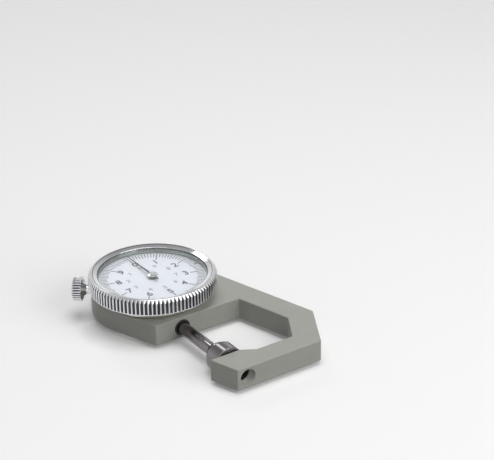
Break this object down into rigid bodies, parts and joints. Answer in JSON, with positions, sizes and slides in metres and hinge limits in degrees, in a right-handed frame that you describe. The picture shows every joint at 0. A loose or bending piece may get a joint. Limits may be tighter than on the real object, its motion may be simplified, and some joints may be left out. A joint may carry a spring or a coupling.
{
  "type": "thickness gauge",
  "caption": "Dial thickness gauge: C-frame with a sprung spindle over a round anvil, a turning fluted bezel with its clamp knob, and a rack and gear train to the pointer.",
  "frame": {"origin": "on the dial's axis, at the outer face of the back cover that the gauge lies on", "axes": "+Z out of the dial, +Y along the spindle from the anvil to the dial and so towards twelve o'clock, +X from the spindle into the throat of the frame"},
  "size_m": [0.0587, 0.085, 0.0178],
  "materials": {
    "grey_enamel": "semi-gloss warm grey enamel",
    "chrome": "bright chrome plate",
    "ground_steel": "ground and polished",
    "dark_steel": "blackened, satin",
    "brass": "turned, satin",
    "nickel": "satin nickel plate",
    "dial_white": "matt white lacquer",
    "blackened_steel": "blackened, smooth",
    "clear_acrylic": "clear, polished"
  },
  "bodies": {
    "gauge_frame": {"frame": "grey_enamel", "back_cover": "nickel", "anvil": "ground_steel", "anvil_screw": "dark_steel", "lower_bush": "dark_steel", "upper_bush": "brass", "main_plate": "brass", "guide_block": "brass", "top_bridge": "brass", "dial_case": "nickel", "clamp_bush": "brass", "return_spring": "ground_steel", "hairspring": "blackened_steel", "hairspring_stud": "ground_steel", "bezel_wire": "ground_steel", "cover_screw_1": "ground_steel", "case_screw_1": "ground_steel", "bridge_screw_1": "ground_steel", "pillar_1": "brass", "cover_screw_2": "ground_steel", "case_screw_2": "ground_steel", "bridge_screw_2": "ground_steel", "pillar_2": "brass", "cover_screw_3": "ground_steel", "case_screw_3": "ground_steel", "bridge_screw_3": "ground_steel", "pillar_3": "brass", "guide_screw_1": "ground_steel", "guide_screw_2": "ground_steel"},
    "measuring_spindle": {"spindle": "ground_steel", "contact_tip": "ground_steel", "guide_pin": "ground_steel", "spring_collar": "brass", "lift_knob": "chrome"},
    "pointer_arbor": {"pointer": "blackened_steel", "hub_cap": "chrome", "centre_arbor": "ground_steel", "centre_gear": "brass"},
    "transfer_shaft": {"transfer_arbor": "ground_steel", "rack_pinion": "ground_steel", "transfer_gear": "brass"},
    "takeup_shaft": {"takeup_arbor": "ground_steel", "takeup_gear": "brass", "hairspring_collet": "brass"},
    "dial_bezel": {"bezel": "chrome", "crystal": "clear_acrylic", "crystal_ring": "nickel", "dial_plate": "dial_white"},
    "bezel_clamp": {"clamp_screw": "chrome"}
  },
  "joints": [
    {"name": "spindle_slide", "type": "slide", "parent": "gauge_frame", "child": "measuring_spindle", "axis": [0, 1, 0], "range_m": [0, 0.01], "stiffness_N_per_m": 60, "springref_m": -0.015, "deforming": ["return_spring"]},
    {"name": "pointer_turn", "type": "hinge", "parent": "gauge_frame", "child": "pointer_arbor", "pos_m": [0, 0, 0.0148], "axis": [0, 0, 1], "range_deg": [-360, 0]},
    {"name": "transfer_turn", "type": "hinge", "parent": "gauge_frame", "child": "transfer_shaft", "pos_m": [-0.00279, 0.00528, 0.0094], "axis": [0, 0, 1], "range_deg": [0, 360]},
    {"name": "takeup_turn", "type": "hinge", "parent": "gauge_frame", "child": "takeup_shaft", "pos_m": [0.00359, -0.00477, 0.0094], "axis": [0, 0, 1], "range_deg": [0, 360]},
    {"name": "bezel_turn", "type": "hinge", "parent": "gauge_frame", "child": "dial_bezel", "pos_m": [0, 0, 0.014], "axis": [0, 0, 1], "continuous": true},
    {"name": "clamp_turn", "type": "hinge", "parent": "gauge_frame", "child": "bezel_clamp", "pos_m": [-0.01781, 0.01391, 0.01055], "axis": [-0.788, 0.6157, 0], "range_deg": [0, 180]}
  ],
  "couplings": [
    {"joint": "pointer_turn", "follows": "spindle_slide", "rad_per_m": -628.32},
    {"joint": "transfer_turn", "follows": "spindle_slide", "rad_per_m": 628.32},
    {"joint": "takeup_turn", "follows": "spindle_slide", "rad_per_m": 628.32}
  ]
}
